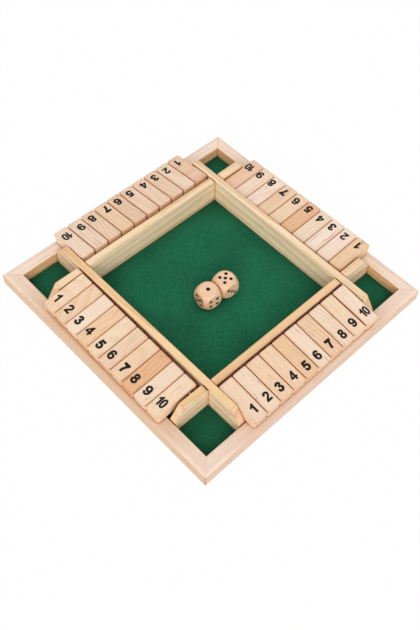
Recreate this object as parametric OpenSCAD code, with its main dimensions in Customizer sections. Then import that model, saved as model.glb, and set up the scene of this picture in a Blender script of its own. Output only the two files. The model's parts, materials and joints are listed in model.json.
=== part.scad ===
// Four-sided shut the box game: a square pine tray with a felt floor, four walls
// round a dice well, four steel rods and ten hinged number tiles on each side.
// Millimetres. The origin is on the underside, at the middle of the tray, +Z up.

/* [Frame] */
// Outside length of each side of the frame
frame_size = 300; // [298:1:304]
// Width of a frame rail, seen from above
rail_w = 14.9; // [14:0.1:16]
// Height of a frame rail
rail_h = 16.4; // [15.6:0.1:16.8]
// Radius of the rail's outer top edge
rail_round = 4.2; // [1:0.1:5]
// Radius of the rail's other long edges
rail_ease = 0.6; // [0.3:0.1:1]

/* [Floor] */
// Thickness of the plywood floor
base_t = 2.9; // [2.5:0.1:3.2]
// How far the floor runs in under each rail
base_under = 6; // [5:0.5:8]
// Thickness of the felt glued to the floor
felt_t = 0.7; // [0.5:0.1:1]

/* [Walls] */
// Thickness of every upright wall
wall_t = 7.7; // [7.4:0.1:7.9]
// Height of the walls' top edge above the table
wall_top = 33.7; // [33:0.1:34.5]
// Clear length between the long walls, which is also the length of a row of tiles
row_len = 172.8; // [172.4:0.1:174]
// Clear length of the dice well between the cross walls
well_len = 175.6; // [174.6:0.1:176]
// Gap between a wall's end and the rail
wall_end_gap = 0.7; // [0.3:0.1:1]
// Length of the slope at a wall's outer end
wall_slope = 11.5; // [8:0.5:13]
// Height of the wall's end at the foot of its slope
wall_end_top = 17.8; // [17:0.1:22]
// Radius of the cross walls' top corners
cross_round = 3.5; // [1:0.5:6]
// Radius of the end walls' top corners, beside the long walls
end_wall_round = 5; // [1:0.5:8]
// Radius of the walls' long top edges
wall_ease = 0.8; // [0.3:0.1:1.5]

/* [Rods] */
// Diameter of the hinge rods
rod_d = 3; // [2.8:0.1:3.2]
// Height of the axis of the south, east, north and west rods above the table
rod_z = [29.2, 24.8, 29.2, 29.2]; // [24.8:0.1:29.4]
// Distance from the middle of the tray to the middle of the same four rods
rod_out = [107.9, 107.8, 109.8, 107]; // [107:0.1:109.8]
// Turn of the same four rods and their rows about the vertical, out of square
rod_turn = [0, 1.2, 0, -0.8]; // [-1.2:0.1:1.2]
// How far a rod's end goes into a wall
rod_in = 6; // [4:0.5:6]

/* [Tiles] */
// Width of a tile
tile_w = 16.4; // [15.5:0.1:16.6]
// Thickness of a tile
tile_t = 12; // [11.6:0.1:12.4]
// Depth of the rod's axis below the tile's top face
rod_depth = 3.8; // [3.2:0.1:4.4]
// Length of the tile from the rod to its inner end
tile_tail = 9.9; // [9:0.1:10.1]
// Length of the tile from the rod to its outer end
tile_reach = 38.8; // [36:0.1:39]
// Radius of the tile's inner top edge
tile_inner_round = 1.5; // [1:0.5:4]
// Radius of the tile's outer top edge
tile_outer_round = 2; // [1:0.5:4]
// Radius of the tile's inner bottom edge, which has to turn past the wall
tile_heel_round = 4; // [3.5:0.5:6]
// Radius of the tile's upright corners at its inner end
tile_inner_corner = 2; // [1:0.5:4]
// Radius of the tile's upright corners at its outer end
tile_outer_corner = 3; // [1:0.5:4]
// Radius of the tile's other edges
tile_ease = 1; // [0.4:0.1:1.2]
// Air between a resting tile and the rail under it
tile_rest_gap = 0.1; // [0.05:0.01:0.2]
// Gap between the end wall and tile 1 on the south, east, north and west sides
row_start = [0.4, 3, 0.7, 0.4]; // [0.3:0.1:3.2]
// Distance from one tile to the next on the same four sides, as far as there is room
row_pitch = [17.15, 16.95, 17.2, 16.95]; // [16.9:0.05:17.2]
// Gap between tile 10 and the end wall on the same four sides
row_end = [0.8, 0.3, 0.8, 3.1]; // [0.3:0.1:3.2]

/* [Dice] */
// Distance between opposite faces of a die
die_size = 21.6; // [20:0.1:21.8]
// Diameter of the ball that rounds a die's corners
die_ball = 28.4; // [27:0.1:29]
// Distance of a die's corner spots from the middle of the face, along each edge
spot_out = 4; // [3.8:0.1:4.5]
// Diameter of a spot
spot_d = 3.5; // [2:0.1:3.6]
// Diameter of the single spot on the face of one
one_spot_d = 4.2; // [3:0.1:5]
// Depth of every spot
spot_deep = 0.7; // [0.4:0.1:1]
// Middle of the pair of dice on the floor
dice_at = [-2.9, -8.95]; // [-20:0.05:20]
// Distance between the middles of the two dice
dice_apart = 22.3; // [22.2:0.1:30]
// Direction of the line through both middles, about the vertical
dice_line = -4.4; // [-10:0.1:0]
// Turn of the first and the second die about the vertical
die_turn = [-8, -5]; // [-12:1:-4]

/* [Pins] */
// Diameter of the wire pins
pin_d = 1.4; // [1:0.1:1.6]
// Diameter of a pin's head
pin_head_d = 2.4; // [2:0.1:3]
// Thickness of a pin's head
pin_head_t = 0.6; // [0.4:0.1:0.8]
// Length of a pin
pin_len = 13; // [10:0.5:14]
// Distance between neighbouring pins along a rail
pin_step = 60; // [40:5:60]

/* [Hidden] */
SIDES = ["south", "east", "north", "west"];
TILES = [1:10];
function tile_name(side, n) = str("tile_", side, "_", n);

PINE = [0.93, 0.80, 0.64];
WALL_PINE = [0.95, 0.80, 0.56];
TILE_PINE = [0.94, 0.83, 0.70];
PLYWOOD = [0.80, 0.66, 0.48];
FELT = [0.11, 0.38, 0.25];
STEEL = [0.70, 0.70, 0.72];

// A cut runs this far past the face that it opens
over = 1;
// Clearance between the floor's edge or the felt's edge and the rails
fit_gap = 0.1;
// Radial clearance of a rod in a tile, and of a rod or a pin in a hole that holds it
rod_run = 0.08;
rod_hold = 0.02;

half = frame_size / 2;
opening = half - rail_w;
floor_z = base_t + felt_t;
wall_end = opening - wall_end_gap;
wall_in = row_len / 2;
wall_out = wall_in + wall_t;
cross_in = well_len / 2;

function index(side) = search([side], SIDES)[0];

// How far a turned row of tiles leans along the end walls, from the rod to their ends
function row_lean(i) = (wall_end - rod_out[i] + wall_in * sin(abs(rod_turn[i]))) * sin(rod_turn[i]);

// Places of the near sides of tile 1 and tile 10 along the rod, from the row's start
function first_place(i) = row_start[i] + max(0, -row_lean(i));
function last_place(i) = row_len - row_end[i] - max(0, row_lean(i)) - tile_w;

// Place of a tile's near side along its rod, from the rod's middle
function tile_start(side, n) =
    let (
        i = index(side),
        pitch = min(row_pitch[i], (last_place(i) - first_place(i)) / 9)
    )
    (n < 10 ? first_place(i) + (n - 1) * pitch : last_place(i)) - wall_in;

// Tilt at which a tile meets the rail with its bottom outer edge, as an arc of radius
// tile_ease whose centre lies arm out and drop down from the rod
function edge_tilt(i) =
    let (
        arm = tile_reach - tile_ease,
        drop = tile_t - rod_depth - tile_ease,
        fall = rod_z[i] - tile_ease - rail_h - tile_rest_gap
    )
    asin(fall / norm([arm, drop])) - atan2(drop, arm);

// Tilt at which its flat bottom meets the rail's inner top edge, as a tile on a low
// rod may do first
function face_tilt(i) =
    let (
        out = opening + rail_ease - rod_out[i] - wall_in * sin(abs(rod_turn[i])),
        fall = rod_z[i] - rail_h + rail_ease,
        clear = tile_t - rod_depth + rail_ease + tile_rest_gap
    )
    atan2(fall, out) - asin(clear / norm([out, fall]));

function tile_tilt(side) = min(edge_tilt(index(side)), face_tilt(index(side)));

// Places of the pins: one list along each rail, one under the walls of one side
rail_pins = [for (i = [-2:2]) [opening + base_under / 2, i * pin_step]];
wall_mid = wall_t / 2;
long_wall_pins = [for (y = [25, 75, 120], s = [-1, 1]) [wall_in + wall_mid, s * y]];
end_wall_pins = [for (x = [104, 124], s = [-1, 1]) [x, s * (wall_in + wall_mid)]];
cross_wall_pins = [for (y = [-55, 0, 55]) [cross_in + wall_mid, y]];

// Turns a shape made for the east side, where +X is outwards, to one of the sides
module on_side(side) {
    rotate([0, 0, 90 * index(side) - 90]) children();
}

// Turns a shape made about a rod, with the rod along +Y and +X outwards, to one side
module on_row(side) {
    i = index(side);
    on_side(side) translate([rod_out[i], 0, rod_z[i]]) rotate([0, 0, rod_turn[i]]) children();
}

// A rod, or its holes, that runs past the row's ends into the walls
module rod_line(side, past, extra = 0) {
    on_row(side) translate([0, row_len / 2 + past, 0]) rotate([90, 0, 0])
        cylinder(d = rod_d + 2 * extra, h = row_len + 2 * past, $fn = 32);
}

module rod_holes() {
    for (side = SIDES) rod_line(side, rod_in + 0.2, rod_hold);
}

// What a round corner of radius r takes off, about the arc's centre
module corner_waste(r) {
    difference() {
        square(r + over);
        circle(r, $fn = 48);
    }
}

// Rectangle from the origin with its top corners rounded by r, and its bottom ones by low_r
module eased_rect(w, h, r, low_r = 0) {
    difference() {
        square([w, h]);
        translate([w - r, h - r]) corner_waste(r);
        translate([r, h - r]) mirror([1, 0]) corner_waste(r);
        if (low_r > 0) {
            translate([w - low_r, low_r]) mirror([0, 1]) corner_waste(low_r);
            translate([low_r, low_r]) rotate(180) corner_waste(low_r);
        }
    }
}

// Lays a profile drawn in X and Y upright in X and Z, extruded along +Y by length
module upright(length) {
    translate([0, length, 0]) rotate([90, 0, 0]) linear_extrude(length) children();
}

// Lays a profile drawn in X and Y upright in Y and Z, extruded along +X by length
module across(length) {
    rotate([90, 0, 90]) linear_extrude(length) children();
}

module pin(extra = 0) {
    cylinder(d = pin_d + 2 * extra, h = pin_len + extra, $fn = 24);
    translate([0, 0, -extra])
        cylinder(d = pin_head_d + 2 * extra, h = pin_head_t + 2 * extra, $fn = 24);
}

module pins_at(places, extra = 0) {
    for (p = places) translate([p.x, p.y, 0]) pin(extra);
}

module base_pins() {
    color(STEEL) for (side = SIDES) on_side(side) pins_at(rail_pins);
}

// The pins under all the walls: the long ones and the end ones stand east and west,
// and the cross ones north and south
module under_walls(extra = 0) {
    for (side = ["east", "west"]) on_side(side) {
        pins_at(long_wall_pins, extra);
        pins_at(end_wall_pins, extra);
    }
    for (side = ["north", "south"]) on_side(side) pins_at(cross_wall_pins, extra);
}

module wall_pins() {
    color(STEEL) under_walls();
}

// Rail section: an eased rectangle with a rounder outer top edge and a rebate
// underneath, on the inner side, for the floor
module rail_section() {
    difference() {
        square([rail_w, rail_h]);
        translate([rail_w - rail_round, rail_h - rail_round]) corner_waste(rail_round);
        translate([rail_ease, rail_h - rail_ease]) mirror([1, 0]) corner_waste(rail_ease);
        translate([rail_w - rail_ease, rail_ease]) mirror([0, 1]) corner_waste(rail_ease);
        translate([-over, -over]) square([base_under + over, base_t + over]);
    }
}

module frame_rail(side) {
    color(PINE) on_side(side) difference() {
        intersection() {
            translate([opening, -half, 0]) upright(frame_size) rail_section();
            linear_extrude(rail_h)
                polygon([[opening, opening], [half, half], [half, -half], [opening, -opening]]);
        }
        pins_at(rail_pins, rod_hold);
    }
}

module base_board() {
    reach = opening + base_under - fit_gap;
    color(PLYWOOD) difference() {
        translate([-reach, -reach, 0]) cube([2 * reach, 2 * reach, base_t]);
        for (side = SIDES) on_side(side) pins_at(rail_pins, rod_hold);
        under_walls(rod_hold);
    }
}

module felt_lining() {
    reach = opening - fit_gap;
    color(FELT) difference() {
        translate([-reach, -reach, base_t]) cube([2 * reach, 2 * reach, felt_t]);
        under_walls(rod_hold);
    }
}

// Long wall: it runs from rail to rail, slopes down at both ends, and takes the
// rods of the south and north sides in blind holes
module long_wall(side) {
    height = wall_top - floor_z;
    color(WALL_PINE) difference() {
        on_side(side) translate([wall_in, 0, floor_z]) intersection() {
            translate([0, -wall_end, 0]) upright(2 * wall_end)
                eased_rect(wall_t, height, wall_ease);
            across(wall_t) polygon([
                [-wall_end, 0], [-wall_end, wall_end_top - floor_z],
                [-wall_end + wall_slope, height], [wall_end - wall_slope, height],
                [wall_end, wall_end_top - floor_z], [wall_end, 0]
            ]);
        }
        rod_holes();
        under_walls(rod_hold);
    }
}

// Cross wall: it stands between the long walls and closes the dice well
module cross_wall(side) {
    height = wall_top - floor_z;
    color(WALL_PINE) on_side(side) difference() {
        translate([cross_in, -wall_in, floor_z]) intersection() {
            upright(row_len) eased_rect(wall_t, height, wall_ease);
            across(wall_t) eased_rect(row_len, height, cross_round);
        }
        pins_at(cross_wall_pins, rod_hold);
    }
}

// End wall: it closes one end of a side row, between the long wall and the rail, and
// takes the end of that row's rod in a blind hole. East and north are 1 or -1
module end_wall(east, north) {
    height = wall_top - floor_z;
    length = wall_end - wall_out;
    color(WALL_PINE) difference() {
        mirror([1 - east, 0, 0]) mirror([0, 1 - north, 0])
            translate([wall_out, wall_in, floor_z]) intersection() {
                upright(wall_t) difference() {
                    polygon([
                        [0, 0], [0, height], [length - wall_slope, height],
                        [length, wall_end_top - floor_z], [length, 0]
                    ]);
                    translate([end_wall_round, height - end_wall_round])
                        mirror([1, 0]) corner_waste(end_wall_round);
                }
                across(length) eased_rect(wall_t, height, wall_ease);
            }
        rod_holes();
        under_walls(rod_hold);
    }
}

// One rod along each side, inside the ten tiles of its row
module hinge_rods() {
    color(STEEL) for (side = SIDES) rod_line(side, rod_in);
}

// Side view of a tile about its rod, +X to its outer end
module tile_side_view() {
    low = tile_t - rod_depth;
    difference() {
        translate([-tile_tail, -low]) square([tile_tail + tile_reach, tile_t]);
        translate([tile_inner_round - tile_tail, rod_depth - tile_inner_round])
            mirror([1, 0]) corner_waste(tile_inner_round);
        translate([tile_reach - tile_outer_round, rod_depth - tile_outer_round])
            corner_waste(tile_outer_round);
        translate([tile_reach - tile_ease, tile_ease - low])
            mirror([0, 1]) corner_waste(tile_ease);
        translate([tile_heel_round - tile_tail, tile_heel_round - low])
            rotate(180) corner_waste(tile_heel_round);
    }
}

// Outline of a tile from above, from its inner end to its outer end along +X
module tile_plan() {
    mirror([1, -1])
        eased_rect(tile_w, tile_tail + tile_reach, tile_outer_corner, tile_inner_corner);
}

// A tile lies with its outer end on the rail, and turns up about its rod
module tile(side, n) {
    color(TILE_PINE) on_row(side) translate([0, tile_start(side, n), 0])
        rotate([0, tile_tilt(side), 0]) difference() {
            intersection() {
                upright(tile_w) tile_side_view();
                translate([-tile_tail, 0, rod_depth - tile_t]) intersection() {
                    across(tile_tail + tile_reach)
                        eased_rect(tile_w, tile_t, tile_ease, tile_ease);
                    linear_extrude(tile_t) tile_plan();
                }
            }
            translate([0, -over, 0]) rotate([-90, 0, 0])
                cylinder(d = rod_d + 2 * rod_run, h = tile_w + 2 * over, $fn = 32);
        }
}

// Places of n spots on a face, in steps of spot_out from its middle
function spots(n) = concat(
    n % 2 == 1 ? [[0, 0]] : [],
    n > 1 ? [[-1, 1], [1, -1]] : [],
    n > 3 ? [[1, 1], [-1, -1]] : [],
    n == 6 ? [[-1, 0], [1, 0]] : []
);

// Drilled spots of one face, which lies at the top of the die
module drilled_spots(n) {
    mouth = (n == 1 ? one_spot_d : spot_d) / 2;
    ball = (pow(mouth, 2) + pow(spot_deep, 2)) / (2 * spot_deep);
    for (p = spots(n))
        translate([p.x * spot_out, p.y * spot_out, die_size / 2 - spot_deep + ball])
            sphere(ball, $fn = 32);
}

// A die is a cube whose corners are turned off by a ball. The first lies at end -1
// of the pair, the second at end 1. Faces gives the numbers on a die's top, bottom,
// east, west, north and south
module die(end, turn, faces) {
    face_turns = [[0, 0, 0], [180, 0, 0], [0, 90, 0], [0, -90, 0], [-90, 0, 0], [90, 0, 0]];
    at = dice_at + end * dice_apart / 2 * [cos(dice_line), sin(dice_line)];
    color(TILE_PINE) translate([at.x, at.y, floor_z + die_size / 2]) rotate([0, 0, turn])
        difference() {
            intersection() {
                cube(die_size, center = true);
                sphere(d = die_ball, $fn = 64);
            }
            for (i = [0:5]) rotate(face_turns[i]) drilled_spots(faces[i]);
        }
}

module die_1() {
    die(-1, die_turn[0], [1, 6, 2, 5, 3, 4]);
}

module die_2() {
    die(1, die_turn[1], [5, 2, 6, 1, 4, 3]);
}

for (side = SIDES) {
    frame_rail(side);
    for (n = TILES) tile(side, n);
}
base_board();
felt_lining();
long_wall("east");  // long_wall_east
long_wall("west");  // long_wall_west
cross_wall("north");  // cross_wall_north
cross_wall("south");  // cross_wall_south
end_wall(1, 1);  // end_wall_north_east
end_wall(-1, 1);  // end_wall_north_west
end_wall(1, -1);  // end_wall_south_east
end_wall(-1, -1);  // end_wall_south_west
hinge_rods();
base_pins();
wall_pins();
die_1();
die_2();
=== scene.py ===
import json
import math
import random

import bpy
from mathutils import Matrix, Vector


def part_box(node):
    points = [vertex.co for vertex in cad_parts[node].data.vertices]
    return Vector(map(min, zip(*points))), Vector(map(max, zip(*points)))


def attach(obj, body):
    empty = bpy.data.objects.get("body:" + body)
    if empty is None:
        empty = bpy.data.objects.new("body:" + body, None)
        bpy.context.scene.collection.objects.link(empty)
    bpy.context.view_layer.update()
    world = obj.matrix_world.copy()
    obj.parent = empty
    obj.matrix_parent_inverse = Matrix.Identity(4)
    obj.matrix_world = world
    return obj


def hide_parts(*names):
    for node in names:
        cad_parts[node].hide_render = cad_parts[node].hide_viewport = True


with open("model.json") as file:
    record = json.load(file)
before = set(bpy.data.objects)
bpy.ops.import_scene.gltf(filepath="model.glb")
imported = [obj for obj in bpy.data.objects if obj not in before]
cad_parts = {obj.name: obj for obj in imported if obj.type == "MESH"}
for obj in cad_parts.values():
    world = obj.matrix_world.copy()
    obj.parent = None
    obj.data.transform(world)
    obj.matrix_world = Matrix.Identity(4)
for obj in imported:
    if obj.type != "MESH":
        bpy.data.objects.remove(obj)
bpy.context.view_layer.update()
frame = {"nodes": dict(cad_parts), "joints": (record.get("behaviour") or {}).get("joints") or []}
parts = frame["nodes"]
SIDES = ("south", "east", "north", "west")


# Frame rails. Four lengths of pine, planed and sanded, with the outer top edge
# rounded over, mitred at 45 degrees and glued. The grain runs along each rail.
def tone(red, green, blue):
    """A colour as a screen shows it, 0 to 255 each, as the linear numbers of a socket."""
    return tuple(
        c / 12.92 if c <= 0.04045 else ((c + 0.055) / 1.055) ** 2.4
        for c in (red / 255, green / 255, blue / 255)
    ) + (1.0,)


def add(tree, kind, sockets=None, **settings):
    """A new shader node. A socket given as a value is set, and one given as an output is linked."""
    made = tree.nodes.new("ShaderNode" + kind)
    for name, value in settings.items():
        setattr(made, name, value)
    for name, value in (sockets or {}).items():
        if isinstance(value, bpy.types.NodeSocket):
            tree.links.new(value, made.inputs[name])
        else:
            made.inputs[name].default_value = value
    return made


def ramp(tree, share, stops):
    """A Color Ramp output from share, with stops as (place, grey or colour)."""
    made = add(tree, "ValToRGB", {"Fac": share})
    points = made.color_ramp.elements
    while len(points) < len(stops):
        points.new(0.5)
    for point, (place, colour) in zip(points, stops):
        point.position = place
        point.color = colour if isinstance(colour, tuple) else (colour, colour, colour, 1)
    return made.outputs["Color"]


def spread(tree, share, low, high):
    """share, from about 0.3 to 0.7 as noise gives it, spread from low to high."""
    return add(tree, "MapRange", {
        "Value": share, "From Min": 0.3, "From Max": 0.7, "To Min": low, "To Max": high,
    }).outputs["Result"]


def maths(tree, operation, *values):
    """The result of a Math node on one, two or three values."""
    return add(tree, "Math", dict(enumerate(values)), operation=operation).outputs[0]


def times(tree, first, second):
    return maths(tree, "MULTIPLY", first, second)


def dot(tree, first, second):
    """How far two directions agree: 1 for the same way, 0 at right angles."""
    return add(tree, "VectorMath", {0: first, 1: second},
               operation="DOT_PRODUCT").outputs["Value"]


def noise(tree, place, scale, detail, roughness=0.5):
    """A noise of that many grains to the metre, about 0.3 to 0.7."""
    return add(tree, "TexNoise", {
        "Vector": place, "Scale": scale, "Detail": detail, "Roughness": roughness,
    }).outputs["Fac"]


def openness(tree, distance):
    """1 where a surface lies open, less where others stand round it within distance."""
    return add(tree, "AmbientOcclusion", {"Distance": distance}, samples=6).outputs["AO"]


def bumps(tree, strength, distance, height):
    return add(tree, "Bump", {
        "Strength": strength, "Distance": distance, "Height": height,
    }).outputs["Normal"]


def blended(tree, share, first, second, how="MIX"):
    """The colour between first and second at share, or that blend of the two."""
    made = add(tree, "Mix", {0: share, 6: first, 7: second}, data_type="RGBA", blend_type=how)
    return made.outputs[2]


def new_material(name):
    made = bpy.data.materials.new(name)
    made.use_nodes = True
    made.node_tree.nodes.clear()
    return made, made.node_tree


def finished(tree, **sockets):
    """Ends a material with a Principled BSDF. Underscores in a socket's name stand for spaces."""
    named = {name.replace("_", " "): value for name, value in sockets.items()}
    shader = add(tree, "BsdfPrincipled", named)
    add(tree, "OutputMaterial", {"Surface": shader.outputs["BSDF"]})


def grain_turn(direction, tip):
    """The turn that lays X along direction, in degrees from +X, and tips it up by tip."""
    return (0.0, -math.radians(tip), math.radians(direction))


# A dark orange-brown painted into narrow gaps as the shade in them
CREVICE_SHADE = tone(166, 84, 26)
GLUE_LINE = tone(176, 128, 90)
GLUE_HALF_WIDTH = 0.0005
# Painted light: the rails' upper faces grow paler towards the mitres, which leaves them darker in
# the middle where the tile ends shade them
PAINTED_END_LIGHT = tone(252, 230, 213)
END_LIGHT_FROM = 0.07
END_LIGHT_FULL = 0.125
# A painted warm tint of bounced light on the rails' faces that look into the frame
INNER_BOUNCE_LIGHT = tone(255, 238, 204)
INNER_BOUNCE_FROM = -0.02
INNER_BOUNCE_FULL = -0.06


def rail_marks(tree, place, normal, up, colour):
    """colour with what only a rail has: a thin line of glue along each mitre, painted light
    on its upper faces towards the mitres, and a painted warm tint of bounced light on the
    faces that look into the frame."""
    x, y, _ = add(tree, "SeparateXYZ", {"Vector": place}).outputs
    far_x = maths(tree, "ABSOLUTE", x)
    far_y = maths(tree, "ABSOLUTE", y)
    off = maths(tree, "SUBTRACT", far_x, far_y)
    glue = maths(tree, "COMPARE", off, 0.0, GLUE_HALF_WIDTH)
    colour = blended(tree, times(tree, glue, 0.3), colour, GLUE_LINE)
    # Painted light, paler towards the mitres, on faces that look up
    end_light = add(tree, "MapRange", {
        "Value": maths(tree, "MINIMUM", far_x, far_y), "From Min": END_LIGHT_FROM,
        "From Max": END_LIGHT_FULL, "To Min": 0.0, "To Max": 0.6,
    }).outputs["Result"]
    colour = blended(tree, times(tree, end_light, spread(tree, up, 0.0, 1.0)), colour, PAINTED_END_LIGHT)
    # Painted warm bounce light on faces that look inwards
    inwards = add(tree, "MapRange", {
        "Value": dot(tree, place, normal), "From Min": INNER_BOUNCE_FROM, "From Max": INNER_BOUNCE_FULL,
    }).outputs["Result"]
    return blended(tree, inwards, colour, INNER_BOUNCE_LIGHT, "MULTIPLY")


def pine(name, early, late, turn, heart, ring, figure, wave=5.0, streaks=0.25, shut=0.005,
         mitred=False, top_shade=None, run=16, bends=0.35, wear_and_shade_tint=(0.96, 0.74, 0.52), wear_and_shade_width=0.0018):
    """Clear-finished pine. early and late are the colours of the pale and the dark part of
    a year's ring, turn is the way of the grain, and heart a point on the middle of the log.
    Rings stand ring metres apart, figure is how strongly they show, wave how far they stray
    and bends how often. A mark in the wood is run times as long as it is wide, and streaks
    is the strength of the resin canals. Gaps narrower than shut are painted dark, as the
    shade in them. Edges take a dark orange for about wear_and_shade_width metres, by
    wear_and_shade_tint's share: partly worn by handling, partly painted shade and orange
    bounce light along the gaps. Faces that look up are darkened by top_shade, a painted
    shade that leaves the sides lighter than the tops. A mitred piece has a rail's marks too."""
    material, tree = new_material(name)
    coordinates = add(tree, "TexCoord").outputs
    place, normal = coordinates["Object"], coordinates["Normal"]
    _, _, up = add(tree, "SeparateXYZ", {"Vector": normal}).outputs
    board = add(tree, "Mapping", {
        "Vector": place, "Location": heart, "Rotation": turn,
        "Scale": (run, 1, 1),
    }, vector_type="TEXTURE").outputs["Vector"]
    rings = add(tree, "TexWave", {
        "Vector": board, "Scale": 0.314 / ring, "Distortion": wave, "Detail": 2.0,
        "Detail Scale": bends, "Detail Roughness": 0.5,
    }, wave_type="RINGS", rings_direction="X", wave_profile="SAW").outputs["Fac"]
    late_wood = ramp(tree, rings, [(0.0, 0.0), (0.35, 0.12), (0.82, 0.85), (0.9, 1.0), (1.0, 0.0)])
    patches = noise(tree, board, 28.0, 2.0)
    fibres = noise(tree, board, 1300.0, 3.0, 0.7)
    lines = noise(tree, board, 420.0, 2.0, 0.6)
    shown = times(tree, late_wood, spread(tree, patches, 0.35 * figure, figure))
    colour = blended(tree, shown, early, late)
    warm = tuple(math.sqrt(a * b) for a, b in zip(early, late))
    colour = blended(tree, spread(tree, patches, 0.0, 0.35), colour, warm)
    canals = times(tree, ramp(tree, lines, [(0.0, 0.0), (0.6, 0.0), (0.72, 1.0)]), streaks)
    resin = tuple(0.62 * c for c in late[:3]) + (1.0,)
    colour = blended(tree, canals, colour, resin)
    # Painted shade: faces that look up are darkened a little, which leaves the sides lighter than
    # the tops
    if top_shade:
        top = ramp(tree, up, [(0.6, 0.0), (0.95, 1.0)])
        colour = blended(tree, top, colour, top_shade, "MULTIPLY")
    shade = spread(tree, fibres, 0.95, 1.04)
    grey = add(tree, "CombineColor", {"Red": shade, "Green": shade, "Blue": shade})
    colour = blended(tree, 1.0, colour, grey.outputs["Color"], "MULTIPLY")
    way = Matrix.Rotation(turn[2], 3, "Z") @ Matrix.Rotation(turn[1], 3, "Y") @ Vector((1, 0, 0))
    end_grain = maths(tree, "ABSOLUTE", dot(tree, normal, way))
    end_share = ramp(tree, end_grain, [(0.0, 0.0), (0.45, 0.05), (0.8, 0.4), (1.0, 0.6)])
    colour = blended(tree, end_share, colour, tuple(0.9 * c for c in late[:3]) + (1.0,))
    # Edges turn dark orange: partly worn by handling, partly painted shade and orange bounce light
    # where an edge meets a gap
    soft = add(tree, "Bevel", {"Radius": wear_and_shade_width}, samples=4).outputs["Normal"]
    hard = add(tree, "NewGeometry").outputs["True Normal"]
    worn = ramp(tree, dot(tree, soft, hard), [(0.8, 0.9), (0.998, 0.0)])
    colour = blended(tree, worn, colour, tuple(k * c for k, c in zip(wear_and_shade_tint + (1.0,), late)))
    if mitred:
        colour = rail_marks(tree, place, normal, up, colour)
    # Painted shade: faces with others close round them are darkened towards a dark orange-brown
    painted_crevice_shade = ramp(tree, openness(tree, shut), [(0.0, 1.0), (0.3, 0.8), (0.72, 0.0)])
    colour = blended(tree, painted_crevice_shade, colour, CREVICE_SHADE)
    height = maths(tree, "ADD", fibres, times(tree, late_wood, 0.6))
    finished(tree, Base_Color=colour, Roughness=spread(tree, fibres, 0.44, 0.58),
             Normal=bumps(tree, 0.22, 0.00012, height),
             Specular_IOR_Level=0.4, Coat_Weight=0.06, Coat_Roughness=0.35)
    return material


def dress(part, material):
    """A CAD part keeps its shape and gets this material all over."""
    parts[part].data.materials.clear()
    parts[part].data.materials.append(material)


RAIL_EARLY = {"south": tone(228, 201, 180), "east": tone(245, 219, 196),
              "north": tone(251, 232, 216), "west": tone(220, 187, 157)}
RAIL_LATE = tone(204, 146, 98)
HEARTS = {"south": (0.1, -0.09, -0.07), "east": (0.2, -0.1, -0.06),
          "north": (-0.1, 0.21, -0.05), "west": (-0.22, 0.1, -0.08)}
ALONG = {"south": 0, "east": 90, "north": 0, "west": 90}
for side in SIDES:
    dress(f"frame_rail_{side}", pine(
        f"rail pine {side}", RAIL_EARLY[side], RAIL_LATE, grain_turn(ALONG[side], 1.5),
        HEARTS[side], ring=0.005, figure=0.62, streaks=0.5, shut=0.002, run=12, mitred=True))

# Floor. One sheet of thin plywood in a rebate under the rails, held by small wire
# nails whose heads lie flush with its underside. Only its underside shows.
dress("base_board", pine("plywood face", tone(222, 190, 146), tone(196, 152, 104),
                         grain_turn(0, 0.4), (0, 0.1, -0.045), ring=0.006, figure=0.7, wave=9.0))


def steel(name, colour, roughness):
    """Drawn steel with fine marks and a little tarnish."""
    material, tree = new_material(name)
    place = add(tree, "TexCoord").outputs["Object"]
    marks = noise(tree, place, 900.0, 3.0)
    tarnish = spread(tree, noise(tree, place, 60.0, 2.0), 0.0, 0.8)
    dull = tuple(0.72 * c for c in colour[:3]) + (1.0,)
    finished(tree, Base_Color=blended(tree, tarnish, colour, dull), Metallic=1.0,
             Roughness=spread(tree, marks, roughness, roughness + 0.15),
             Normal=bumps(tree, 0.2, 0.00005, marks))
    return material


NAIL_STEEL = steel("nail steel", tone(190, 190, 192), 0.3)
dress("base_pins", NAIL_STEEL)
dress("wall_pins", NAIL_STEEL)

# Felt. One square of short green felt, cut to the opening of the frame and glued
# flat to the plywood before the walls go on. Its face has a faint nap.
def stretched(tree, place, turn, scale):
    """place turned about Z and scaled, so that a noise on it runs long in one way."""
    return add(tree, "Mapping", {
        "Vector": place, "Rotation": (0, 0, turn), "Scale": scale,
    }).outputs["Vector"]


low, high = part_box("felt_lining")
FELT_SIZE = high.x - low.x
FELT_THICKNESS = high.z - low.z
FELT_CELLS = 108
NAP = 0.00012
TUFT = 0.004
bpy.ops.object.select_all(action="DESELECT")
bpy.ops.mesh.primitive_grid_add(
    x_subdivisions=FELT_CELLS, y_subdivisions=FELT_CELLS, size=FELT_SIZE,
    location=(0, 0, high.z))
felt = bpy.context.object
felt.name = "felt_sheet"
bpy.ops.object.transform_apply(location=True, rotation=True, scale=True)
clouds = bpy.data.textures.new("felt nap", "CLOUDS")
clouds.noise_scale = TUFT
clouds.noise_depth = 2
nap = felt.modifiers.new("nap", "DISPLACE")
nap.texture = clouds
nap.texture_coords = "LOCAL"
nap.direction = "Z"
nap.mid_level = 1.0
nap.strength = NAP
bpy.ops.object.modifier_apply(modifier=nap.name)
bpy.ops.object.mode_set(mode="EDIT")
bpy.ops.mesh.select_all(action="SELECT")
bpy.ops.mesh.extrude_region_move(TRANSFORM_OT_translate={"value": (0, 0, -FELT_THICKNESS)})
bpy.ops.transform.resize(value=(1, 1, 0), center_override=(0, 0, low.z))
bpy.ops.mesh.select_all(action="SELECT")
bpy.ops.mesh.normals_make_consistent(inside=False)
bpy.ops.object.mode_set(mode="OBJECT")

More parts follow.
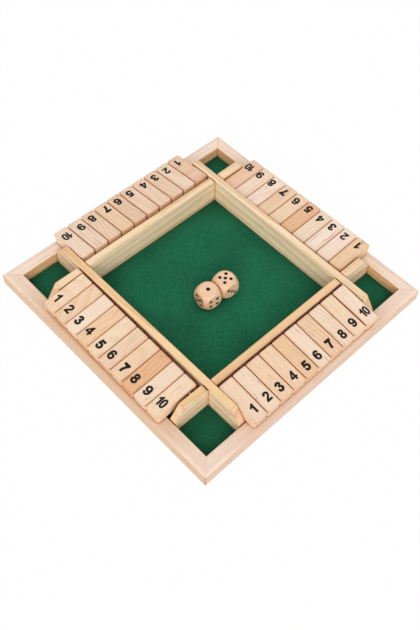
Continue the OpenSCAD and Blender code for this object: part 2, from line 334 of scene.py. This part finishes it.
material, tree = new_material("green felt")
place = add(tree, "TexCoord").outputs["Object"]
mottle = noise(tree, place, 14.0, 2.0)
tufts = noise(tree, stretched(tree, place, 1.1, (1, 0.28, 1)), 900.0, 3.0, 0.75)
hairs = noise(tree, stretched(tree, place, 0.6, (1, 0.3, 1)), 1500.0, 4.0, 0.8)
colour = blended(tree, spread(tree, mottle, 0.0, 1.0), tone(9, 80, 54), tone(25, 108, 76))
colour = blended(tree, ramp(tree, tufts, [(0.3, 0.5), (0.5, 0.0)]), colour, tone(4, 66, 44))
colour = blended(tree, ramp(tree, tufts, [(0.5, 0.0), (0.72, 0.5)]), colour, tone(58, 130, 100))
colour = blended(tree, spread(tree, hairs, 0.0, 0.34), colour, tone(54, 132, 98))
# Painted shade: the felt is darkened where the walls and rails stand round it
wall_shade = ramp(tree, openness(tree, 0.03), [(0.3, 0.75), (0.85, 0.0)])
colour = blended(tree, wall_shade, colour, tone(20, 62, 42))
finished(tree, Base_Color=colour, Roughness=0.95, Normal=bumps(tree, 0.5, 0.0003, hairs),
         Specular_IOR_Level=0.1, Sheen_Weight=0.12, Sheen_Roughness=0.5,
         Sheen_Tint=tone(120, 180, 140))
felt.data.materials.append(material)
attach(felt, "box")
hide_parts("felt_lining")

# Walls. Eight lengths of yellower pine on the felt, glued and nailed from below:
# two run through from rail to rail, two stand between them round the dice well, and
# four short ones close the side rows. Their free ends slope down to the rails.
WALL_EARLY = tone(255, 236, 204)
WALL_LATE = tone(208, 152, 94)
# Painted shades for the walls' tops, which leave their sides lighter than the tops
WALL_TOP_SHADES = {"pale": tone(255, 250, 247), "golden": tone(253, 244, 234),
               "amber": tone(255, 240, 215), "rosy": tone(246, 224, 200)}
# The way of each wall's grain, a point on the middle of its log, and the painted shade on its top
WALLS = {
    "long_wall_east": (90, (0.118, 0, -0.03), "pale"),
    "long_wall_west": (90, (-0.06, 0, -0.028), "amber"),
    "cross_wall_north": (0, (0, 0.118, -0.02), "golden"),
    "cross_wall_south": (0, (0, -0.06, -0.03), "rosy"),
    "end_wall_north_east": (0, (0.1, 0.115, -0.02), "pale"),
    "end_wall_north_west": (0, (-0.1, 0.06, -0.02), "golden"),
    "end_wall_south_east": (0, (0.1, -0.12, -0.015), "golden"),
    "end_wall_south_west": (0, (-0.1, -0.07, -0.02), "amber"),
}
for wall, (along, heart, top_shade) in WALLS.items():
    dress(wall, pine(f"{wall} pine", WALL_EARLY, WALL_LATE, grain_turn(along, 1.2), heart,
                     ring=0.0085, figure=0.86, wave=3.4, streaks=0.2, run=6, bends=1.1,
                     top_shade=WALL_TOP_SHADES[top_shade]))

# Hinge rods. Four straight steel rods, one through the ten tiles of each side, with
# their ends in blind holes of the walls. They show only in the gaps between tiles.
dress("hinge_rods", steel("rod steel", tone(176, 174, 170), 0.32))

# Tiles. Ten sanded pine blocks on each side, drilled across for the rod, each from
# another part of the plank, so that every one has its own tone and grain.
TILE_TONES = {
    "pale": (tone(247, 223, 199), tone(226, 187, 150)),
    "cream": (tone(247, 220, 191), tone(227, 185, 144)),
    "honey": (tone(246, 211, 174), tone(222, 170, 122)),
    "tan": (tone(245, 213, 181), tone(220, 173, 130)),
    "rosy": (tone(244, 214, 187), tone(220, 172, 136)),
    "blush": (tone(250, 228, 209), tone(232, 194, 168)),
    "clay": (tone(244, 206, 178), tone(219, 166, 128)),
    "orange": (tone(240, 193, 152), tone(210, 150, 100)),
}
TILE_ROWS = {
    "south": "rosy pale tan tan honey pale tan pale cream pale",
    "east": "honey blush blush pale orange cream tan blush pale clay",
    "north": "clay pale rosy rosy rosy rosy tan rosy pale pale",
    "west": "cream tan pale honey cream rosy tan orange pale cream",
}
OUTWARDS = {"south": -90, "east": 0, "north": 90, "west": 180}
# The tiles' edges take a darker, wider orange band: painted shade and orange bounce light in the
# gaps between tiles, with some handling wear
TILE_WEAR_AND_SHADE_TINT = (0.88, 0.56, 0.3)
TILE_WEAR_AND_SHADE_WIDTH = 0.0028
chance = random.Random(7)
for side in SIDES:
    for number, word in enumerate(TILE_ROWS[side].split(), 1):
        tile = f"tile_{side}_{number}"
        low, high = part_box(tile)
        middle = (low + high) / 2
        reach = chance.uniform(0.02, 0.06)
        around = chance.uniform(0, 2 * math.pi)
        drift = Vector((math.cos(around), math.sin(around), 0)) * reach
        heart = (middle.x + drift.x, middle.y + drift.y, middle.z - chance.uniform(0.008, 0.05))
        early, late = TILE_TONES[word]
        dress(tile, pine(
            f"{tile} pine", early, late,
            grain_turn(OUTWARDS[side] + chance.uniform(-4, 4), chance.uniform(-6, 6)), heart,
            ring=chance.uniform(0.0022, 0.0045), figure=chance.uniform(0.35, 0.85),
            wave=chance.uniform(3, 7), streaks=chance.uniform(0.2, 0.8),
            wear_and_shade_tint=TILE_WEAR_AND_SHADE_TINT, wear_and_shade_width=TILE_WEAR_AND_SHADE_WIDTH))

# Numbers. 1 to 10 in bold black figures, printed on the top of each tile near its
# outer end, to be read from outside. The ink is a thin film, sunk a little in the wood.
INK = 0.00006
SUNK = 0.00002
WELD = 0.000004
# Outlines in millimetres of a figure about 10 high; "s" is a smooth point, "c" a corner.
FIGURES = {
    "0": [["s 3.87 10", "s 6.3 8.7", "s 7.2 4.92", "s 6.3 1.1", "s 3.87 -0.18", "s 1.45 1.1",
           "s 0.55 4.92", "s 1.45 8.7"],
          ["s 3.87 8.42", "s 2.85 7.5", "s 2.52 4.92", "s 2.85 2.3", "s 3.87 1.42", "s 4.9 2.3",
           "s 5.22 4.92", "s 4.9 7.5"]],
    "1": [["c 5.6 0", "c 5.6 10", "c 4.06 10", "s 2.86 8.4", "c 1.24 7.47", "c 1.24 5.74",
           "s 2.6 6.35", "c 3.7 7.18", "c 3.7 0"]],
    "2": [["c 7.03 1.76", "c 7.03 0", "c 0.35 0", "s 1 1.92", "s 3.14 4.3", "s 4.71 5.93",
           "s 5.1 7.11", "s 3.8 8.44", "c 2.46 6.89", "c 0.56 7.08", "s 1.61 9.33", "s 3.85 10",
           "s 6.16 9.22", "s 7 7.25", "s 6 4.71", "s 4.75 3.44", "c 3.22 1.76"]],
    "3": [["c 0.51 2.64", "c 2.36 2.86", "s 2.83 1.78", "s 3.78 1.4", "s 5.19 3.07",
           "s 3.86 4.64", "c 2.97 4.49", "c 3.18 6.04", "s 4.79 7.35", "s 3.69 8.46",
           "c 2.44 7.13", "c 0.68 7.43", "s 1.6 9.2", "s 3.72 10", "s 5.94 9.14", "s 6.64 7.49",
           "c 5.19 5.38", "s 6.57 4.54", "s 7.1 3", "s 6.13 0.75", "s 3.74 -0.18",
           "s 1.48 0.6"]],
    "4": [["c 4.32 0", "c 4.32 2", "c 0.25 2", "c 0.25 3.67", "c 4.57 10", "c 6.17 10",
           "c 6.17 3.68", "c 7.4 3.68", "c 7.4 2", "c 6.17 2", "c 6.17 0"],
          ["c 4.32 3.68", "c 4.32 7.07", "c 2.04 3.68"]],
    "5": [["c 0.61 2.56", "c 2.51 2.75", "s 3 1.73", "s 3.92 1.35", "s 5.35 3.31", "s 3.88 5.14",
           "c 2.4 4.4", "c 0.86 4.64", "c 1.83 9.81", "c 6.88 9.81", "c 6.88 8.03",
           "c 3.26 8.03", "c 2.97 6.33", "s 4.28 6.65", "s 6.43 5.73", "s 7.32 3.32",
           "s 6.6 1.11", "s 3.88 -0.18", "s 1.6 0.57"]],
    "6": [["c 7.07 7.51", "c 5.22 7.31", "s 4.86 8.15", "s 4.11 8.42", "s 3.07 7.86",
           "c 2.53 5.56", "s 4.35 6.42", "s 6.46 5.49", "s 7.33 3.06", "s 6.4 0.75",
           "s 4.1 -0.18", "s 1.5 1.05", "s 0.5 4.85", "s 1.6 8.8", "s 4.22 10", "s 6.2 9.3"],
          ["s 5.43 3", "s 5.06 1.8", "s 4.08 1.35", "s 3.03 1.8", "s 2.6 3.14", "s 2.97 4.4",
           "s 4 4.82", "s 5.04 4.4"]],
    "7": [["c 0.58 8.04", "c 0.58 9.82", "c 7.1 9.82", "c 7.1 8.42", "s 5.47 6.14",
           "s 4.18 2.98", "c 3.75 0", "c 1.9 0", "s 2.76 4.2", "c 4.86 8.04"]],
    "8": [["s 3.82 10", "s 5.97 9.28", "s 6.7 7.5", "s 6.3 6.25", "c 5.4 5.4", "s 6.7 4.45",
           "s 7.15 2.8", "s 6.3 0.75", "s 3.87 -0.18", "s 1.4 0.75", "s 0.55 2.8", "s 1 4.45",
           "c 2.25 5.4", "s 1.38 6.25", "s 0.97 7.5", "s 1.65 9.28"],
          ["s 3.82 8.5", "s 2.95 8.15", "s 2.65 7.35", "s 2.95 6.55", "s 3.82 6.2",
           "s 4.7 6.55", "s 5 7.35", "s 4.7 8.15"],
          ["s 3.87 4.55", "s 2.8 4.1", "s 2.4 2.95", "s 2.8 1.8", "s 3.87 1.35", "s 4.95 1.8",
           "s 5.35 2.95", "s 4.95 4.1"]],
}
# A nine is a six turned by half a turn.
FIGURES["9"] = [
    [f"{p.split()[0]} {7.83 - float(p.split()[1]):.2f} {9.82 - float(p.split()[2]):.2f}"
     for p in outline]
    for outline in FIGURES["6"]
]
TEN_NARROW = 0.8
TEN_GAP = 1.1
SHRUNK = 0.965
# How far each figure's outline is let out all round, in metres
BOLDER = {"0": 0.00028, "1": 0.00026, "2": 0.00026, "3": 0.00042, "4": 0.00024, "5": 0.00044,
          "6": 0.00034, "7": 0.00052, "8": 0.0004, "9": 0.00034}
# Where each figure's middle stands from the tile's left side, and its top from the
# tile's inner end, in millimetres, for tiles 1 to 10.
ACROSS = {
    "south": (9.2, 10.0, 8.6, 8.9, 8.9, 7.8, 9.0, 8.9, 9.1, 9.6),
    "east": (8.4, 9.6, 10.1, 9.2, 9.7, 10.0, 10.9, 12.2, 12.1, 10.9),
    "north": (8.9, 9.2, 8.8, 7.3, 9.3, 8.8, 7.2, 9.2, 7.5, 8.3),
    "west": (5.9, 6.8, 6.5, 5.6, 7.3, 6.4, 8.3, 6.7, 7.0, 7.6),
}
DOWN = {
    "south": (31.2, 30.8, 31.3, 31.9, 32.8, 32.0, 31.5, 32.4, 30.5, 30.2),
    "east": (32.7, 32.1, 32.3, 31.5, 32.8, 31.3, 31.5, 31.6, 30.6, 30.7),
    "north": (32.7, 31.6, 32.1, 31.9, 32.5, 32.2, 32.0, 31.7, 30.1, 30.4),
    "west": (29.7, 29.4, 30.1, 29.9, 31.8, 31.0, 31.3, 31.0, 30.5, 29.1),
}

ink, tree = new_material("black ink")
place = add(tree, "TexCoord").outputs["Object"]
worn = noise(tree, place, 700.0, 3.0)
colour = blended(tree, spread(tree, worn, 0.0, 0.4), tone(14, 12, 13), tone(40, 34, 32))
finished(tree, Base_Color=colour, Roughness=spread(tree, worn, 0.55, 0.7),
         Normal=bumps(tree, 0.2, 0.00003, worn), Specular_IOR_Level=0.2)


def figure_mesh(name, text):
    """A printed number as a closed film, drawn from X 0 and Y 0 and then let out all
    round by its last figure's BOLDER."""
    curve = bpy.data.curves.new(name, "CURVE")
    curve.dimensions = "2D"
    curve.fill_mode = "BOTH"
    curve.resolution_u = 5
    curve.extrude = INK / 2
    curve.offset = BOLDER[text[-1]]
    narrow = TEN_NARROW if len(text) > 1 else 1.0
    start = 0.0
    for letter in text:
        across = [float(p.split()[1]) for p in FIGURES[letter][0]]
        for outline in FIGURES[letter]:
            line = curve.splines.new("BEZIER")
            line.bezier_points.add(len(outline) - 1)
            line.use_cyclic_u = True
            for point, words in zip(line.bezier_points, outline):
                kind, x, y = words.split()
                x = start + (float(x) - min(across)) * narrow
                point.co = (x * SHRUNK / 1000, float(y) * SHRUNK / 1000, 0)
                handle = "AUTO" if kind == "s" else "VECTOR"
                point.handle_left_type = handle
                point.handle_right_type = handle
        start += (max(across) - min(across) + TEN_GAP) * narrow
    drawn = bpy.data.objects.new(name, curve)
    bpy.context.scene.collection.objects.link(drawn)
    bpy.ops.object.select_all(action="DESELECT")
    bpy.context.view_layer.objects.active = drawn
    drawn.select_set(True)
    bpy.ops.object.convert(target="MESH")
    printed = bpy.context.object
    bpy.ops.object.mode_set(mode="EDIT")
    bpy.ops.mesh.select_all(action="SELECT")
    bpy.ops.mesh.remove_doubles(threshold=WELD)
    bpy.ops.mesh.normals_make_consistent(inside=False)
    bpy.ops.object.mode_set(mode="OBJECT")
    # Faces of the top or the bottom that look into the film are turned over
    for face in printed.data.polygons:
        if face.normal.z * face.center.z < -INK / 4:
            face.flip()
    return printed


def tile_face(side, number):
    """A tile's own directions, right, inwards and up from its top, and the corner where
    its top, its left side and its inner end would meet."""
    joint = next(j for j in frame["joints"] if j["name"] == f"{side}_{number}_flip")
    right = -Vector(joint["axis"]).normalized()
    mesh = parts[f"tile_{side}_{number}"].data
    top = max((p for p in mesh.polygons if p.normal.z > 0.7), key=lambda p: p.area)
    up = top.normal.copy()
    inwards = up.cross(right).normalized()
    points = [v.co for v in mesh.vertices]
    corner = (right * min(right.dot(p) for p in points)
              + inwards * max(inwards.dot(p) for p in points)
              + up * max(up.dot(p) for p in points))
    return right, inwards, up, corner


for number in range(1, 11):
    master = figure_mesh(f"number_{number}", str(number))
    width = max(v.co.x for v in master.data.vertices)
    tall = max(v.co.y for v in master.data.vertices)
    for side in SIDES:
        right, inwards, up, corner = tile_face(side, number)
        printed = master.copy()
        printed.data = master.data.copy()
        printed.name = f"number_{side}_{number}"
        bpy.context.scene.collection.objects.link(printed)
        foot = (corner + right * (ACROSS[side][number - 1] / 1000 - width / 2)
                - inwards * (DOWN[side][number - 1] / 1000 + tall)
                + up * (INK / 2 - SUNK))
        turn = Matrix((right, inwards, up)).transposed().to_4x4()
        printed.data.transform(Matrix.Translation(foot) @ turn)
        printed.data.materials.clear()
        printed.data.materials.append(ink)
        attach(printed, f"{side}_{number}_tile")
    bpy.data.objects.remove(master)

# Dice. Two cubes of pale close-grained hardwood, tumbled until their corners are
# round, with a dimple drilled for every spot and black paint in each dimple.
# A die's faces are named in this order: top, bottom, east, west, north, south.
DIE_FACES = {"die_1": (1, 6, 2, 5, 3, 4), "die_2": (5, 2, 6, 1, 4, 3)}
DIE_TURN = {"die_1": -8, "die_2": -5}
DIE_BODY = {"die_1": "first_die", "die_2": "second_die"}
DIE_SIZE = 0.0216
SPOT_OUT = 0.004
SPOT_WIDE = 0.0035
ONE_WIDE = 0.0042
SPOT_DEEP = 0.0007
PAINT = 0.00004
LAYOUT = {1: ["0 0"], 2: ["-1 1", "1 -1"], 3: ["0 0", "-1 1", "1 -1"],
          4: ["-1 1", "1 -1", "1 1", "-1 -1"], 5: ["0 0", "-1 1", "1 -1", "1 1", "-1 -1"],
          6: ["-1 1", "1 -1", "1 1", "-1 -1", "-1 0", "1 0"]}
# The turn that brings the top to each face
FACE_TURNS = [(0, "X"), (180, "X"), (90, "Y"), (-90, "Y"), (-90, "X"), (90, "X")]


def painted_spot(wide):
    """Paint in one dimple of the top face of a die at the origin: a thin bowl."""
    mouth = wide / 2
    ball = (mouth ** 2 + SPOT_DEEP ** 2) / (2 * SPOT_DEEP)
    centre = DIE_SIZE / 2 - SPOT_DEEP + ball
    bpy.ops.object.select_all(action="DESELECT")
    bpy.ops.mesh.primitive_uv_sphere_add(
        segments=24, ring_count=48, radius=ball - PAINT, location=(0, 0, centre))
    bowl = bpy.context.object
    bpy.ops.object.transform_apply(location=True, rotation=True, scale=True)
    bpy.ops.object.mode_set(mode="EDIT")
    bpy.ops.mesh.select_all(action="SELECT")
    bpy.ops.mesh.bisect(plane_co=(0, 0, DIE_SIZE / 2 - 0.03 * SPOT_DEEP), plane_no=(0, 0, 1),
                        clear_outer=True)
    bpy.ops.object.mode_set(mode="OBJECT")
    film = bowl.modifiers.new("film", "SOLIDIFY")
    film.thickness = PAINT * 1.5
    film.offset = 1.0
    bpy.ops.object.modifier_apply(modifier=film.name)
    bpy.ops.object.mode_set(mode="EDIT")
    bpy.ops.mesh.select_all(action="SELECT")
    bpy.ops.mesh.normals_make_consistent(inside=False)
    bpy.ops.object.mode_set(mode="OBJECT")
    bpy.ops.object.shade_smooth_by_angle(angle=math.radians(40))
    return bowl


wide_spot = painted_spot(ONE_WIDE)
plain_spot = painted_spot(SPOT_WIDE)
for die, faces in DIE_FACES.items():
    low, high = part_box(die)
    middle = (low + high) / 2
    standing = Matrix.Translation(middle) @ Matrix.Rotation(math.radians(DIE_TURN[die]), 4, "Z")
    copies = []
    for face, (degrees, axis) in zip(faces, FACE_TURNS):
        turned = Matrix.Rotation(math.radians(degrees), 4, axis)
        master = wide_spot if face == 1 else plain_spot
        for spot in LAYOUT[face]:
            x, y = (float(v) * SPOT_OUT for v in spot.split())
            dab = master.copy()
            dab.data = master.data.copy()
            dab.data.transform(standing @ turned @ Matrix.Translation((x, y, 0)))
            bpy.context.scene.collection.objects.link(dab)
            copies.append(dab)
    bpy.ops.object.select_all(action="DESELECT")
    for dab in copies:
        dab.select_set(True)
    bpy.context.view_layer.objects.active = copies[0]
    bpy.ops.object.join()
    spots = bpy.context.object
    spots.name = f"{die}_spots"
    spots.data.materials.clear()
    spots.data.materials.append(ink)
    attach(spots, DIE_BODY[die])
    dress(die, pine(
        f"{die} hardwood", tone(250, 212, 180), tone(216, 160, 114),
        grain_turn(DIE_TURN[die], 2), (middle.x, middle.y - 0.03, middle.z - 0.02),
        ring=0.0016, figure=0.5, wave=3.0, streaks=0.2))
for master in (wide_spot, plain_spot):
    bpy.data.objects.remove(master)

# Ground. A plain white table that keeps the game's soft shadow. The camera sees it
# almost as a white glow, with a small share of matt white that takes the shadow.
def seen_share(tree):
    """1 for what is seen straight, in a shine or through glass, 0 for all other light."""
    rays = add(tree, "LightPath").outputs
    seen = maths(tree, "MAXIMUM", rays["Is Camera Ray"], rays["Is Glossy Ray"])
    return maths(tree, "MAXIMUM", seen, rays["Is Transmission Ray"])


bpy.ops.object.select_all(action="DESELECT")
bpy.ops.mesh.primitive_plane_add(size=6, location=(0, 0, -0.0003))
ground = bpy.context.object
ground.name = "ground"
material, tree = new_material("white table")
matt = add(tree, "BsdfDiffuse", {"Color": tone(240, 240, 240)}).outputs["BSDF"]
glow = add(tree, "Emission", {"Color": (1, 1, 1, 1), "Strength": 1.0}).outputs["Emission"]
glow_share = times(tree, seen_share(tree), 0.97)
mixed = add(tree, "MixShader", {0: glow_share, 1: matt, 2: glow}).outputs["Shader"]
add(tree, "OutputMaterial", {"Surface": mixed})
ground.data.materials.append(material)

# Light. An even white room, and one broad lamp in the south-west, which lights the
# well's far walls and draws soft shadows towards the back.
ROOM_LIGHT = 0.73
LAMP_LIGHT = 1.42
LAMP_SPREAD = math.radians(45)
LAMP_COLOUR = (1.0, 0.985, 0.96)
LAMP_FROM = Vector((-0.9, -0.84, 0.78))
world = bpy.data.worlds.new("white room")
bpy.context.scene.world = world
world.use_nodes = True
tree = world.node_tree
tree.nodes.clear()
strength = add(tree, "MapRange", {
    "Value": seen_share(tree), "To Min": ROOM_LIGHT, "To Max": 1.0,
}).outputs["Result"]
background = add(tree, "Background", {"Color": (1, 1, 1, 1), "Strength": strength})
add(tree, "OutputWorld", {"Surface": background.outputs["Background"]})
lamp = bpy.data.lights.new("broad lamp", "SUN")
lamp.energy = LAMP_LIGHT
lamp.angle = LAMP_SPREAD
lamp.color = LAMP_COLOUR
lamp_object = bpy.data.objects.new("broad lamp", lamp)
bpy.context.scene.collection.objects.link(lamp_object)
lamp_object.rotation_mode = "QUATERNION"
lamp_object.rotation_quaternion = (-LAMP_FROM).to_track_quat("-Z", "Y")
lamp_object.location = LAMP_FROM

# Camera. It looks down on the front corner from the south-west, a little rolled.
CAMERA_AZIMUTH = math.radians(-48.45)
CAMERA_HEIGHT = math.radians(56.13)
CAMERA_ROLL = math.radians(4.95)
CAMERA_AWAY = 0.81118
LOOKS_AT = Vector((-0.00273, -0.04109, 0))
FOCAL_LENGTH = 45.747
SENSOR_WIDTH = 36
SHIFT_X = -0.0446
SHIFT_Y = 0.0034
back = Vector((math.sin(CAMERA_AZIMUTH) * math.cos(CAMERA_HEIGHT),
               -math.cos(CAMERA_AZIMUTH) * math.cos(CAMERA_HEIGHT), math.sin(CAMERA_HEIGHT)))
level = Vector((math.cos(CAMERA_AZIMUTH), math.sin(CAMERA_AZIMUTH), 0))
upright = back.cross(level)
right = level * math.cos(CAMERA_ROLL) + upright * math.sin(CAMERA_ROLL)
upwards = upright * math.cos(CAMERA_ROLL) - level * math.sin(CAMERA_ROLL)
lens = bpy.data.cameras.new("camera")
lens.lens = FOCAL_LENGTH
lens.sensor_width = SENSOR_WIDTH
lens.shift_x = SHIFT_X
lens.shift_y = SHIFT_Y
camera = bpy.data.objects.new("camera", lens)
bpy.context.scene.collection.objects.link(camera)
placed = Matrix((right, upwards, back)).transposed().to_4x4()
placed.translation = LOOKS_AT + back * CAMERA_AWAY
camera.matrix_world = placed
bpy.context.scene.camera = camera
bpy.context.scene.view_settings.view_transform = "Standard"
